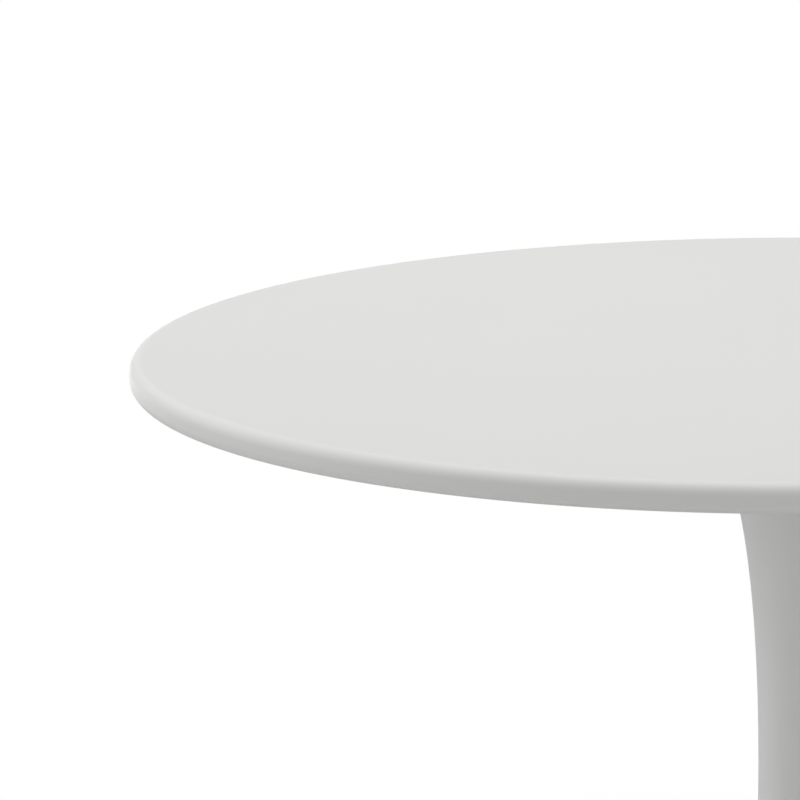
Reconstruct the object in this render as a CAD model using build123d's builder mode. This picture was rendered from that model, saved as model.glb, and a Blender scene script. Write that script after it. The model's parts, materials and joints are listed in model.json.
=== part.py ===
from build123d import *

import os
from math import atan2, cos, sin

# Round pedestal table: a lacquered round top screwed to a steel plate, on a cast trumpet-shaped
# pedestal that a tie rod clamps between the plate and an iron ballast disc.
# Origin on the floor under the middle of the top, +Z up, millimetres.

# Overall sizes
TABLE_HEIGHT = 740.0
TOP_DIAMETER = 1000.0
FOOT_DIAMETER = 570.0
NECK_DIAMETER = 55.6
RIM_DIAMETER = 152.0

# Tabletop board
TOP_THICKNESS = 25.0
EDGE_HEIGHT = 21.3  # upright edge, above the bevel that thins the board from below
EDGE_LEAN = 0.2  # how far the edge leans in on its way down
BEVEL_WIDTH = 40.0
UPPER_ARRIS = 9.4
LOWER_ARRIS = 8.1

# Mounting plate and the hub welded under it
PLATE_DIAMETER = 260.0
PLATE_THICKNESS = 5.0
PLATE_CHAMFER = 1.0
HUB_THICKNESS = 8.0
HUB_BOSS_DIAMETER = 32.0
HUB_BOSS_LENGTH = 30.0
HUB_PLAY = 0.2  # radial play between the hub and its seat in the pedestal
HUB_RELIEF = 0.3  # gap under the hub, so that the plate bears on the pedestal's rim

# M6 screws that hold the plate to the board, with threaded inserts in the board
SCREW_COUNT = 8
SCREW_CIRCLE = 210.0
SCREW_THREAD = 6.0
SCREW_LENGTH = 20.0
SCREW_HOLE = 6.6
SCREW_HEAD_DIAMETER = 10.5
SCREW_HEAD_HEIGHT = 3.3
SCREW_SOCKET = 4.0
SCREW_SOCKET_DEPTH = 2.0
INSERT_DIAMETER = 10.0
INSERT_LENGTH = 13.0

# Pedestal shell
WALL = 5.0
LIP_GROUND_GAP = 4.0
LIP_HEIGHT = 6.0
LIP_WIDTH = 8.0
LIP_ROUNDING = 4.0
RIM_WIDTH = 16.0  # ring of metal between the hub's seat and the outside
LEDGE_WIDTH = 12.0
LEDGE_THICKNESS = 12.0
NECK_HEIGHT = 420.0
# Pull of each end of the two flares on their curve, as shares of the flare's width and height
FOOT_PULL = (0.34, 0.098)
NECK_PULL_BELOW = 0.244
NECK_PULL_ABOVE = 0.62
RIM_PULL = (0.455, 0.845)

# Ballast disc inside the foot, bolted up to four bosses of the shell
BALLAST_GROUND_GAP = 9.0
BALLAST_THICKNESS = 18.0
BALLAST_STEP_HEIGHT = 18.0
BALLAST_SHELL_GAP = 5.0
BALLAST_BOSS_GAP = 6.0
BALLAST_ROUNDING = 2.0
BOLT_COUNT = 4
BOLT_THREAD = 8.0
BOLT_LENGTH = 25.0
BOLT_HOLE = 9.0
BOLT_HEAD_HEIGHT = 5.3
BOLT_ACROSS_FLATS = 13.0
BOLT_POCKET_DIAMETER = 22.0
BOLT_POCKET_DEPTH = 10.0
BOLT_BOSS_DIAMETER = 20.0
BOLT_HOLE_DEPTH = 18.0
BOLT_HOLE_ROOF = 7.0  # metal between the end of a bolt's hole and the inside of the shell

# M12 tie rod through the ballast disc into the hub, with its nut
ROD_THREAD = 12.0
ROD_HOLE = 13.0
ROD_GROUND_GAP = 10.0
ROD_TOP_GAP = 2.0  # from the rod's top to the top of the hub's boss
ROD_POCKET_DIAMETER = 42.0
ROD_POCKET_DEPTH = 19.0
NUT_ACROSS_FLATS = 18.0
NUT_HEIGHT = 10.8

# Washers: outer and inner diameter, thickness
SCREW_WASHER = (12.0, 6.4, 1.6)
SCREW_LOCK_WASHER = (11.8, 6.1, 1.6)
BOLT_WASHER = (16.0, 8.4, 1.6)
BOLT_LOCK_WASHER = (14.8, 8.1, 2.0)
ROD_WASHER = (37.0, 13.0, 3.0)
ROD_LOCK_WASHER = (21.1, 12.2, 2.5)
LOCK_WASHER_SLIT = 1.5

# Levelling glides: an M8 stud that turns in the shell, with a plastic pad clipped on its button
GLIDE_COUNT = 4
GLIDE_ANGLE = 45.0
GLIDE_BOSS_DIAMETER = 22.0
GLIDE_BOSS_GROUND_GAP = 9.0
GLIDE_HOLE_TOP = 23.0
STUD_THREAD = 8.0
STUD_END_GAP = 0.5  # from the stud's end to the end of its hole
COLLAR_ACROSS_FLATS = 14.0
COLLAR_HEIGHT = 3.2
COLLAR_GAP = 0.15  # over and under the collar when the glide is screwed right in
BUTTON_DIAMETER = 12.0
BUTTON_HEIGHT = 2.55
NECK_OF_STUD = 8.0
PAD_DIAMETER = 30.0
PAD_HEIGHT = 5.5
PAD_FLOOR = 1.5  # plastic under the button
PAD_ROUNDING = 1.0
BUTTON_PLAY = 0.15

THREAD_PLAY = 0.05  # radial play of every thread and insert
THREAD_CHAMFER = 0.8

# Heights worked out from the sizes above
board_bottom = TABLE_HEIGHT - TOP_THICKNESS
rim_top = board_bottom - PLATE_THICKNESS
seat_floor = rim_top - HUB_THICKNESS - HUB_RELIEF
ledge_bottom = seat_floor - LEDGE_THICKNESS
hub_bottom = rim_top - HUB_THICKNESS
boss_bottom = hub_bottom - HUB_BOSS_LENGTH
lip_top = LIP_GROUND_GAP + LIP_HEIGHT
ballast_top = BALLAST_GROUND_GAP + BALLAST_THICKNESS
step_top = ballast_top + BALLAST_STEP_HEIGHT

# Radii worked out from the sizes above
foot_radius = FOOT_DIAMETER / 2
neck_radius = NECK_DIAMETER / 2
rim_radius = RIM_DIAMETER / 2
seat_radius = rim_radius - RIM_WIDTH


def between(start, end, share):
    return start + (end - start) * share


def wall_inside(outline, share):
    """Point one wall thickness inside the shell from a point of its outline."""
    along = outline % share
    return outline @ share + Vector(-along.Y, along.X) * WALL


def radius_at(outline, height):
    """Radius of an outline that rises all the way, where it reaches a height."""
    low, high = 0.0, 1.0
    for _ in range(40):
        middle = (low + high) / 2
        if (outline @ middle).Y < height:
            low = middle
        else:
            high = middle
    return (outline @ low).X


def rod(diameter, bottom, height, places=None, mode=Mode.ADD):
    """Round bars standing at the places, or one on the axis, added to the part being built."""
    with BuildSketch(Plane.XY.offset(bottom)) as section:
        with places or Locations((0, 0)):
            Circle(diameter / 2)
    extrude(section.sketch, amount=height, mode=mode)


def hexagon(across_flats, bottom, height, places=None, mode=Mode.ADD):
    """Hexagonal bars standing at the places, or one on the axis."""
    with BuildSketch(Plane.XY.offset(bottom)) as section:
        with places or Locations((0, 0)):
            RegularPolygon(across_flats / 2, 6, major_radius=False)
    extrude(section.sketch, amount=height, mode=mode)


def washer(sizes, bottom, places=None, slit=0.0):
    """Flat rings at the places, or one on the axis, cut through on one side where there is a slit."""
    outer, inner, thickness = sizes
    with BuildSketch(Plane.XY.offset(bottom)) as section:
        with places or Locations((0, 0)):
            Circle(outer / 2)
            Circle(inner / 2, mode=Mode.SUBTRACT)
            if slit:
                Rectangle(outer, slit, align=(Align.MIN, Align.CENTER), mode=Mode.SUBTRACT)
    extrude(section.sketch, amount=thickness)


def keep(piece, name):
    piece.part.label = name
    export_step(piece.part, f"parts/{name}.step")


os.makedirs("parts", exist_ok=True)

# Outline of the shell, radius along X and height along Y: a flare from the foot to the neck
# and a smaller one from the neck to the rim.
with BuildLine() as foot_flare:
    Bezier(
        (foot_radius, lip_top),
        (
            between(neck_radius, foot_radius, FOOT_PULL[0]),
            between(lip_top, NECK_HEIGHT, FOOT_PULL[1]),
        ),
        (neck_radius, between(lip_top, NECK_HEIGHT, NECK_PULL_BELOW)),
        (neck_radius, NECK_HEIGHT),
    )
with BuildLine() as rim_flare:
    Bezier(
        (neck_radius, NECK_HEIGHT),
        (neck_radius, between(NECK_HEIGHT, rim_top, NECK_PULL_ABOVE)),
        (
            between(neck_radius, rim_radius, RIM_PULL[0]),
            between(NECK_HEIGHT, rim_top, RIM_PULL[1]),
        ),
        (rim_radius, rim_top),
    )
foot_line = foot_flare.line
rim_line = rim_flare.line
with BuildLine() as inner_wall:
    Spline(
        *[wall_inside(foot_line, share) for share in (0, 0.15, 0.3, 0.5, 0.75, 1)],
        *[wall_inside(rim_line, share) for share in (0.3, 0.6, 0.8, 1)],
    )
inner_line = inner_wall.line

# What stands inside the foot is placed where the inside of the shell reaches its height
ballast_radius = radius_at(inner_line, ballast_top + BALLAST_SHELL_GAP) - BALLAST_SHELL_GAP
bolt_hole_top = ballast_top + BOLT_HOLE_DEPTH
bolt_circle = radius_at(inner_line, bolt_hole_top + BOLT_HOLE_ROOF)
step_radius = bolt_circle - BOLT_BOSS_DIAMETER / 2 - BALLAST_BOSS_GAP
glide_circle = radius_at(inner_line, GLIDE_HOLE_TOP)
screw_places = PolarLocations(SCREW_CIRCLE / 2, SCREW_COUNT)
bolt_places = PolarLocations(bolt_circle, BOLT_COUNT)
glide_places = PolarLocations(glide_circle, GLIDE_COUNT, start_angle=GLIDE_ANGLE)

# Tabletop: round board with a full, rounded edge, thinned towards it from below
with BuildPart() as tabletop:
    with BuildSketch(Plane.XZ) as board_profile:
        edge_bottom = TABLE_HEIGHT - EDGE_HEIGHT
        lean = atan2(EDGE_LEAN, EDGE_HEIGHT)
        # The sharp corner stands out from the rounded edge's widest ring
        corner_radius = TOP_DIAMETER / 2 + UPPER_ARRIS * ((1 + sin(lean)) / cos(lean) - 1)
        lower_radius = corner_radius - EDGE_LEAN
        with BuildLine():
            Polyline(
                (0, board_bottom),
                (lower_radius - BEVEL_WIDTH, board_bottom),
                (lower_radius, edge_bottom),
                (corner_radius, TABLE_HEIGHT),
                (0, TABLE_HEIGHT),
                close=True,
            )
        make_face()
        lower_corner, upper_corner = board_profile.vertices().sort_by(Axis.X)[-2:]
        fillet(upper_corner, UPPER_ARRIS)
        fillet(lower_corner, LOWER_ARRIS)
    revolve()
    rod(INSERT_DIAMETER + 2 * THREAD_PLAY, board_bottom, INSERT_LENGTH, screw_places, Mode.SUBTRACT)

# Threaded inserts, pressed into the board from below
with BuildPart() as tabletop_inserts:
    rod(INSERT_DIAMETER, board_bottom, INSERT_LENGTH, screw_places)
    rod(SCREW_THREAD + 2 * THREAD_PLAY, board_bottom, INSERT_LENGTH, screw_places, Mode.SUBTRACT)

# Mounting plate
with BuildPart() as mounting_plate:
    rod(PLATE_DIAMETER, rim_top, PLATE_THICKNESS)
    lower_edge = mounting_plate.edges().filter_by(GeomType.CIRCLE).group_by(Axis.Z)[0]
    chamfer(lower_edge, PLATE_CHAMFER)
    rod(SCREW_HOLE, rim_top, PLATE_THICKNESS, screw_places, Mode.SUBTRACT)

# Hub welded under the plate, with a boss tapped for the tie rod
with BuildPart() as plate_hub:
    rod(2 * (seat_radius - HUB_PLAY), hub_bottom, HUB_THICKNESS)
    rod(HUB_BOSS_DIAMETER, boss_bottom, HUB_BOSS_LENGTH)
    rod(ROD_THREAD + 2 * THREAD_PLAY, boss_bottom, HUB_BOSS_LENGTH, mode=Mode.SUBTRACT)

# Screws from below, each with a lock washer and a washer under its head
washer_bottom = rim_top - SCREW_WASHER[2]
lock_washer_bottom = washer_bottom - SCREW_LOCK_WASHER[2]
head_bottom = lock_washer_bottom - SCREW_HEAD_HEIGHT
with BuildPart() as mounting_washers:
    washer(SCREW_WASHER, washer_bottom, screw_places)
with BuildPart() as mounting_lock_washers:
    washer(SCREW_LOCK_WASHER, lock_washer_bottom, screw_places, LOCK_WASHER_SLIT)
with BuildPart() as mounting_screws:
    rod(SCREW_HEAD_DIAMETER, head_bottom, SCREW_HEAD_HEIGHT, screw_places)
    head_edges = mounting_screws.edges().filter_by(GeomType.CIRCLE).group_by(Axis.Z)[0]
    fillet(head_edges, SCREW_HEAD_HEIGHT / 2)
    rod(SCREW_THREAD, lock_washer_bottom, SCREW_LENGTH, screw_places)
    hexagon(SCREW_SOCKET, head_bottom, SCREW_SOCKET_DEPTH, screw_places, Mode.SUBTRACT)

# Space inside the shell, with the bosses standing in it
with BuildPart() as hollow:
    with BuildSketch(Plane.XZ):
        with BuildLine():
            inner_start = inner_line @ 0
            inner_end = inner_line @ 1
            add(inner_line)
            Polyline(inner_end, (0, inner_end.Y), (0, 0), (inner_start.X, 0), inner_start)
        make_face()
        Rectangle(
            foot_radius - LIP_WIDTH,
            ledge_bottom,
            align=(Align.MIN, Align.MIN),
            mode=Mode.INTERSECT,
        )
    revolve()
    rod(BOLT_BOSS_DIAMETER, ballast_top, ledge_bottom, bolt_places, Mode.SUBTRACT)
    rod(GLIDE_BOSS_DIAMETER, GLIDE_BOSS_GROUND_GAP, ledge_bottom, glide_places, Mode.SUBTRACT)

# Pedestal: one cast shell from the foot's lip to the rim under the plate
with BuildPart() as pedestal:
    with BuildSketch(Plane.XZ):
        with BuildLine():
            Line((foot_radius, LIP_GROUND_GAP), (foot_radius, lip_top))
            add(foot_line)
            add(rim_line)
            Polyline(
                (rim_radius, rim_top),
                (0, rim_top),
                (0, LIP_GROUND_GAP),
                (foot_radius, LIP_GROUND_GAP),
            )
        make_face()
    revolve()
    lip_edge = pedestal.edges().filter_by(GeomType.CIRCLE).sort_by(SortBy.RADIUS).group_by(Axis.Z)[1]
    fillet(lip_edge, LIP_ROUNDING)
    add(hollow.part, mode=Mode.SUBTRACT)
    rod(2 * (seat_radius - LEDGE_WIDTH), ledge_bottom, LEDGE_THICKNESS, mode=Mode.SUBTRACT)
    rod(2 * seat_radius, seat_floor, rim_top - seat_floor, mode=Mode.SUBTRACT)
    rod(BOLT_THREAD + 2 * THREAD_PLAY, ballast_top, BOLT_HOLE_DEPTH, bolt_places, Mode.SUBTRACT)
    rod(
        STUD_THREAD + 2 * THREAD_PLAY,
        GLIDE_BOSS_GROUND_GAP,
        GLIDE_HOLE_TOP - GLIDE_BOSS_GROUND_GAP,
        glide_places,
        Mode.SUBTRACT,
    )

# Ballast disc: stepped, with a pocket for the rod's nut and one for each bolt head
pocket_roof = BALLAST_GROUND_GAP + ROD_POCKET_DEPTH
bolt_seat = BALLAST_GROUND_GAP + BOLT_POCKET_DEPTH
with BuildPart() as ballast_disc:
    rod(2 * ballast_radius, BALLAST_GROUND_GAP, BALLAST_THICKNESS)
    rod(2 * step_radius, ballast_top, BALLAST_STEP_HEIGHT)
    fillet(ballast_disc.edges().filter_by(GeomType.CIRCLE).group_by(Axis.Z)[-1], BALLAST_ROUNDING)
    fillet(ballast_disc.edges().filter_by(GeomType.CIRCLE).group_by(Axis.Z)[0], BALLAST_ROUNDING)
    rod(ROD_POCKET_DIAMETER, BALLAST_GROUND_GAP, ROD_POCKET_DEPTH, mode=Mode.SUBTRACT)
    rod(ROD_HOLE, pocket_roof, step_top - pocket_roof, mode=Mode.SUBTRACT)
    rod(BOLT_POCKET_DIAMETER, BALLAST_GROUND_GAP, BOLT_POCKET_DEPTH, bolt_places, Mode.SUBTRACT)
    rod(BOLT_HOLE, bolt_seat, ballast_top - bolt_seat, bolt_places, Mode.SUBTRACT)

# Ballast bolts with their washers
bolt_washer_bottom = bolt_seat - BOLT_WASHER[2]
bolt_lock_washer_bottom = bolt_washer_bottom - BOLT_LOCK_WASHER[2]
with BuildPart() as ballast_washers:
    washer(BOLT_WASHER, bolt_washer_bottom, bolt_places)
with BuildPart() as ballast_lock_washers:
    washer(BOLT_LOCK_WASHER, bolt_lock_washer_bottom, bolt_places, LOCK_WASHER_SLIT)
with BuildPart() as ballast_bolts:
    hexagon(
        BOLT_ACROSS_FLATS,
        bolt_lock_washer_bottom - BOLT_HEAD_HEIGHT,
        BOLT_HEAD_HEIGHT,
        bolt_places,
    )
    rod(BOLT_THREAD, bolt_lock_washer_bottom, BOLT_LENGTH, bolt_places)

# Tie rod, from its nut under the ballast disc up into the hub
rod_washer_bottom = pocket_roof - ROD_WASHER[2]
rod_lock_washer_bottom = rod_washer_bottom - ROD_LOCK_WASHER[2]
nut_bottom = rod_lock_washer_bottom - NUT_HEIGHT
with BuildPart() as rod_washer:
    washer(ROD_WASHER, rod_washer_bottom)
with BuildPart() as rod_lock_washer:
    washer(ROD_LOCK_WASHER, rod_lock_washer_bottom, slit=LOCK_WASHER_SLIT)
with BuildPart() as rod_nut:
    hexagon(NUT_ACROSS_FLATS, nut_bottom, NUT_HEIGHT)
    rod(ROD_THREAD + 2 * THREAD_PLAY, nut_bottom, NUT_HEIGHT, mode=Mode.SUBTRACT)
with BuildPart() as tie_rod:
    rod(ROD_THREAD, ROD_GROUND_GAP, hub_bottom - ROD_TOP_GAP - ROD_GROUND_GAP)
    chamfer(tie_rod.edges().filter_by(GeomType.CIRCLE), THREAD_CHAMFER)

for piece, name in (
    (tabletop, "tabletop"),
    (tabletop_inserts, "tabletop_inserts"),
    (mounting_plate, "mounting_plate"),
    (plate_hub, "plate_hub"),
    (mounting_washers, "mounting_washers"),
    (mounting_lock_washers, "mounting_lock_washers"),
    (mounting_screws, "mounting_screws"),
    (pedestal, "pedestal"),
    (ballast_disc, "ballast_disc"),
    (ballast_washers, "ballast_washers"),
    (ballast_lock_washers, "ballast_lock_washers"),
    (ballast_bolts, "ballast_bolts"),
    (rod_washer, "rod_washer"),
    (rod_lock_washer, "rod_lock_washer"),
    (rod_nut, "rod_nut"),
    (tie_rod, "tie_rod"),
):
    keep(piece, name)

# Levelling glides, shown screwed right in, each a stud in its own pad
collar_top = GLIDE_BOSS_GROUND_GAP - COLLAR_GAP
collar_bottom = collar_top - COLLAR_HEIGHT
stud_top = GLIDE_HOLE_TOP - STUD_END_GAP
button_bottom = PAD_FLOOR + BUTTON_PLAY
socket_top = button_bottom + BUTTON_HEIGHT + BUTTON_PLAY
for number, place in enumerate(glide_places.locations, start=1):
    here = Locations(place.position)
    with BuildPart() as glide_stud:
        rod(BUTTON_DIAMETER, button_bottom, BUTTON_HEIGHT, here)
        rod(NECK_OF_STUD, button_bottom, collar_bottom - button_bottom, here)
        hexagon(COLLAR_ACROSS_FLATS, collar_bottom, COLLAR_HEIGHT, here)
        rod(STUD_THREAD, collar_top, stud_top - collar_top, here)
        chamfer(glide_stud.edges().filter_by(GeomType.CIRCLE).group_by(Axis.Z)[-1], THREAD_CHAMFER)
    keep(glide_stud, f"glide_stud_{number}")
    with BuildPart() as glide_pad:
        rod(PAD_DIAMETER, 0, PAD_HEIGHT, here)
        rim_edges = glide_pad.edges().filter_by(GeomType.CIRCLE)
        fillet(rim_edges, PAD_ROUNDING)
        rod(BUTTON_DIAMETER + 2 * BUTTON_PLAY, PAD_FLOOR, socket_top - PAD_FLOOR, here, Mode.SUBTRACT)
        rod(NECK_OF_STUD + 2 * BUTTON_PLAY, socket_top, PAD_HEIGHT - socket_top, here, Mode.SUBTRACT)
    keep(glide_pad, f"glide_pad_{number}")
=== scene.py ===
import json
from math import atan2, cos, pi, radians, sin, tan

import bmesh
import bpy
from mathutils import Matrix, Vector
from mathutils.geometry import interpolate_bezier

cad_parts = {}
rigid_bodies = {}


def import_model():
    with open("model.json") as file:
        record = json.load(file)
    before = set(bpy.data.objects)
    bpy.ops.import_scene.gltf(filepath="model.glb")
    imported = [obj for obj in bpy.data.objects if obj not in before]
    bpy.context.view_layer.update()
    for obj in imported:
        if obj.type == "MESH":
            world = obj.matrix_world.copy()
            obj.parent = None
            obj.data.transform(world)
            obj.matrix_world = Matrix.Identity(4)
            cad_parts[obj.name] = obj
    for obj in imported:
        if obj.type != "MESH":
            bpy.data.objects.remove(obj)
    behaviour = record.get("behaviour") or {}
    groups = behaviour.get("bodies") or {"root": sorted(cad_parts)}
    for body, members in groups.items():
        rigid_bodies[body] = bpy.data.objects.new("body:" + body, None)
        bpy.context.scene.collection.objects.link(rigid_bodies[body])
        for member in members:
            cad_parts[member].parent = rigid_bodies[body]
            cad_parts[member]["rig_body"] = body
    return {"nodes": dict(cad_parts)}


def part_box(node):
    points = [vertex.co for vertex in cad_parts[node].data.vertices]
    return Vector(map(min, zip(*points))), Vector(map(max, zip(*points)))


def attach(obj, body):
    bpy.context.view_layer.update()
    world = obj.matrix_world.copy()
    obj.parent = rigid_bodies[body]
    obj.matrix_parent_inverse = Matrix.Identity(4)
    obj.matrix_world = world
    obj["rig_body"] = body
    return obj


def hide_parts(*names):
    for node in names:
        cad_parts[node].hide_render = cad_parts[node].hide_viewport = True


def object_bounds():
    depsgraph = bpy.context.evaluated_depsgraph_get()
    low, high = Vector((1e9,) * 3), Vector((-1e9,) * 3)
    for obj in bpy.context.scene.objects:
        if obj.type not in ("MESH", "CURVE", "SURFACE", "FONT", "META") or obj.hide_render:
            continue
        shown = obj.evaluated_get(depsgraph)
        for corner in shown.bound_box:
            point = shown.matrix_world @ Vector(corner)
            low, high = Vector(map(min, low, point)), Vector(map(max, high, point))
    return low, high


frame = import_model()
cad_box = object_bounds()

# Heights and radii read from the frame, in metres
board_low, board_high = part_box("tabletop")
shell_low, shell_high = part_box("pedestal")
plate_low, plate_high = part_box("mounting_plate")
hub_low, hub_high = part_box("plate_hub")
insert_low, insert_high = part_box("tabletop_inserts")
ballast_low, ballast_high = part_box("ballast_disc")
rod_low, rod_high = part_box("tie_rod")
table_height = board_high.z
top_radius = cad_box[1].x
foot_radius = shell_high.x

# Tabletop board
EDGE_HEIGHT = 0.0213
EDGE_LEAN = 0.0002
BEVEL_WIDTH = 0.040
UPPER_ARRIS = 0.0094
LOWER_ARRIS = 0.0081
BEVEL_ROUNDING = 0.010
POCKET_RADIUS = 0.00505

# Pedestal shell
WALL = 0.005
NECK_RADIUS = 0.0278
NECK_HEIGHT = 0.420
RIM_RADIUS = 0.076
RIM_WIDTH = 0.016
SEAT_DEPTH = 0.0083
LEDGE_WIDTH = 0.012
LEDGE_THICKNESS = 0.012
LIP_HEIGHT = 0.006
LIP_WIDTH = 0.008
LIP_ROUNDING = 0.004
FOOT_PULL = (0.34, 0.098)
NECK_PULL_BELOW = 0.244
NECK_PULL_ABOVE = 0.62
RIM_PULL = (0.455, 0.845)

# Bosses in the foot: for the ballast bolts and for the glides
BOLT_BOSS_RADIUS = 0.010
BOLT_HOLE_DEPTH = 0.018
GLIDE_BOSS_RADIUS = 0.011
GLIDE_BOSS_LOW = 0.009
GLIDE_HOLE_TOP = 0.023

# Threads: largest radius and pitch
M6 = (0.003, 0.001)
M8 = (0.004, 0.00125)
M12 = (0.006, 0.00175)
THREAD_PLAY = 0.00005

SCREW_COUNT = 8
BOLT_COUNT = 4
GLIDE_COUNT = 4
SCREW_LENGTH = 0.020
BOLT_LENGTH = 0.025

# Washers: outer and inner radius
SCREW_WASHER = (0.006, 0.0032)
SCREW_LOCK_WASHER = (0.0059, 0.00305)
BOLT_WASHER = (0.008, 0.0042)
BOLT_LOCK_WASHER = (0.0074, 0.00405)
ROD_WASHER = (0.0185, 0.0065)
ROD_LOCK_WASHER = (0.01055, 0.0061)
LOCK_WASHER_SLIT = 0.0015
LOCK_WASHER_SLANT = radians(20)

# Circles that the fasteners and glides stand on
screw_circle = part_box("mounting_washers")[1].x - SCREW_WASHER[0]
bolt_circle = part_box("ballast_washers")[1].x - BOLT_WASHER[0]
glide_places = []
for number in range(GLIDE_COUNT):
    pad_low, pad_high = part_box(f"glide_pad_{number + 1}")
    glide_places.append(Vector(((pad_low.x + pad_high.x) / 2, (pad_low.y + pad_high.y) / 2, 0)))

# Ballast disc
BALLAST_THICKNESS = 0.018
BALLAST_STEP_RADIUS_CLEARANCE = 0.016
BALLAST_ROUNDING = 0.002
NUT_POCKET = (0.021, 0.019)
BOLT_POCKET = (0.011, 0.010)
ROD_HOLE_RADIUS = 0.0065
BOLT_HOLE_RADIUS = 0.0045

# Hub, screw heads, nut, glides
HUB_DISC_THICKNESS = 0.008
HUB_BOSS_RADIUS = 0.016
PLATE_CHAMFER = 0.001
PLATE_HOLE_RADIUS = 0.0033
SCREW_HEAD_RADIUS = 0.00525
SCREW_HEAD_HEIGHT = 0.0033
SCREW_SOCKET = (0.004, 0.002)
BOLT_FLATS = 0.013
BOLT_HEAD_HEIGHT = 0.0053
NUT_FLATS = 0.018
COLLAR_FLATS = 0.014
COLLAR_HEIGHT = 0.0032
BUTTON_RADIUS = 0.006
BUTTON_HEIGHT = 0.00255
STUD_NECK_RADIUS = 0.004
PAD_ROUNDING = 0.001
PAD_FLOOR = 0.0015
BUTTON_PLAY = 0.00015

# Roundings of small edges
LIP_UNDER_ROUNDING = 0.001
LIP_INSIDE_ROUNDING = 0.0015
RIM_ROUNDING = 0.001
SEAT_ROUNDING = 0.0005
HUB_BOSS_ROUNDING = 0.0008
HUB_DISC_ROUNDING = 0.0005
WASHER_ROUNDING = 0.00025
LOCK_WASHER_ROUNDING = 0.0001
SCREW_CROWN_ROUNDING = 0.0026
SCREW_FACE_ROUNDING = 0.0002
BUTTON_ROUNDING = 0.0005
MOUTH_ROUNDING = 0.0003

# Grooves of the inserts: depth, and where each band's land ends and its next groove starts
INSERT_BANDS = 3
GROOVE_DEPTH = 0.0005
GROOVE_RAMP = 0.0005
LAND_END = 0.0012
GROOVE_START = 0.0007

# Tie rod
ROD_THREAD_LENGTH = 0.060
ROD_PLAIN_UNDERSIZE = 0.0003
ROD_OVERLAP = 0.001

# How far a drill reaches past what it cuts, and joined shapes reach into each other
DRILL_REACH = 0.001
JOINT_OVERLAP = 0.0005
SCREW_OVERLAP = 0.0004

# Share of a hole's or boss's radius within which a face belongs to it
NEAR_SHARE = 1.05
NEAR_BOSS_SHARE = 1.02
TINY = 1e-6

# 60-degree thread: its depth, and its end chamfer below the root, as shares of the pitch
THREAD_DEPTH = 0.5413
THREAD_CHAMFER = 0.1

# Hexagon heads: the turned chamfer's circle on the face and beyond the corners, and its angle
CHAMFER_CIRCLE = 0.96
CHAMFER_REACH = 1.02
CHAMFER_ANGLE = radians(30)

# Fineness of round shapes
TOP_STEPS = 720
SHELL_STEPS = 288
DISC_STEPS = 192
SMALL_STEPS = 64
THREAD_STEPS = 24
FOOT_CURVE_POINTS = 72
RIM_CURVE_POINTS = 40


# ---- Shapes ----


def around(distance, count):
    """Places evenly spaced on a circle round the axis."""
    turns = [2 * pi * i / count for i in range(count)]
    return [Vector((distance * cos(a), distance * sin(a), 0)) for a in turns]


screw_places = around(screw_circle, SCREW_COUNT)
bolt_places = around(bolt_circle, BOLT_COUNT)
on_axis = [Vector((0, 0, 0))]


def turned(outline, steps=SMALL_STEPS):
    """Solid of revolution about Z from (radius, height) points.

    The outline starts and ends on the axis, or is a closed ring that stays clear of it.
    """
    bm = bmesh.new()
    rings = outline + outline[:1] if outline[0][0] else outline[1:-1]
    radius, height = rings[0]
    lift = Matrix.Translation((0, 0, height))
    bmesh.ops.create_circle(bm, segments=steps, radius=radius, matrix=lift)
    edges = bm.edges[:]
    for wider, higher in rings[1:]:
        grown = bmesh.ops.extrude_edge_only(bm, edges=edges)["geom"]
        verts = [item for item in grown if isinstance(item, bmesh.types.BMVert)]
        grown_edges = [item for item in grown if isinstance(item, bmesh.types.BMEdge)]
        edges = [edge for edge in grown_edges if edge.is_boundary]
        bmesh.ops.scale(bm, verts=verts, vec=(wider / radius, wider / radius, 1))
        bmesh.ops.translate(bm, verts=verts, vec=(0, 0, higher - height))
        radius, height = wider, higher
    bmesh.ops.remove_doubles(bm, verts=bm.verts, dist=1e-6)
    open_edges = [edge for edge in bm.edges if edge.is_boundary]
    bmesh.ops.holes_fill(bm, edges=open_edges, sides=0)
    bmesh.ops.recalc_face_normals(bm, faces=bm.faces)
    return bm


def round_ring(bm, corner, radius, segments=4):
    """Rounds the ring that a corner of the outline made, to a radius."""
    def on_corner(vert):
        at = Vector((vert.co.xy.length, vert.co.z))
        return (at - Vector(corner)).length < 2e-6

    ring = [e for e in bm.edges if on_corner(e.verts[0]) and on_corner(e.verts[1])]
    width = radius * tan(ring[0].calc_face_angle() / 2)
    bmesh.ops.bevel(
        bm,
        geom=ring,
        offset=width,
        segments=segments,
        profile=0.5,
        affect="EDGES",
        material=-1,
    )


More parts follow.
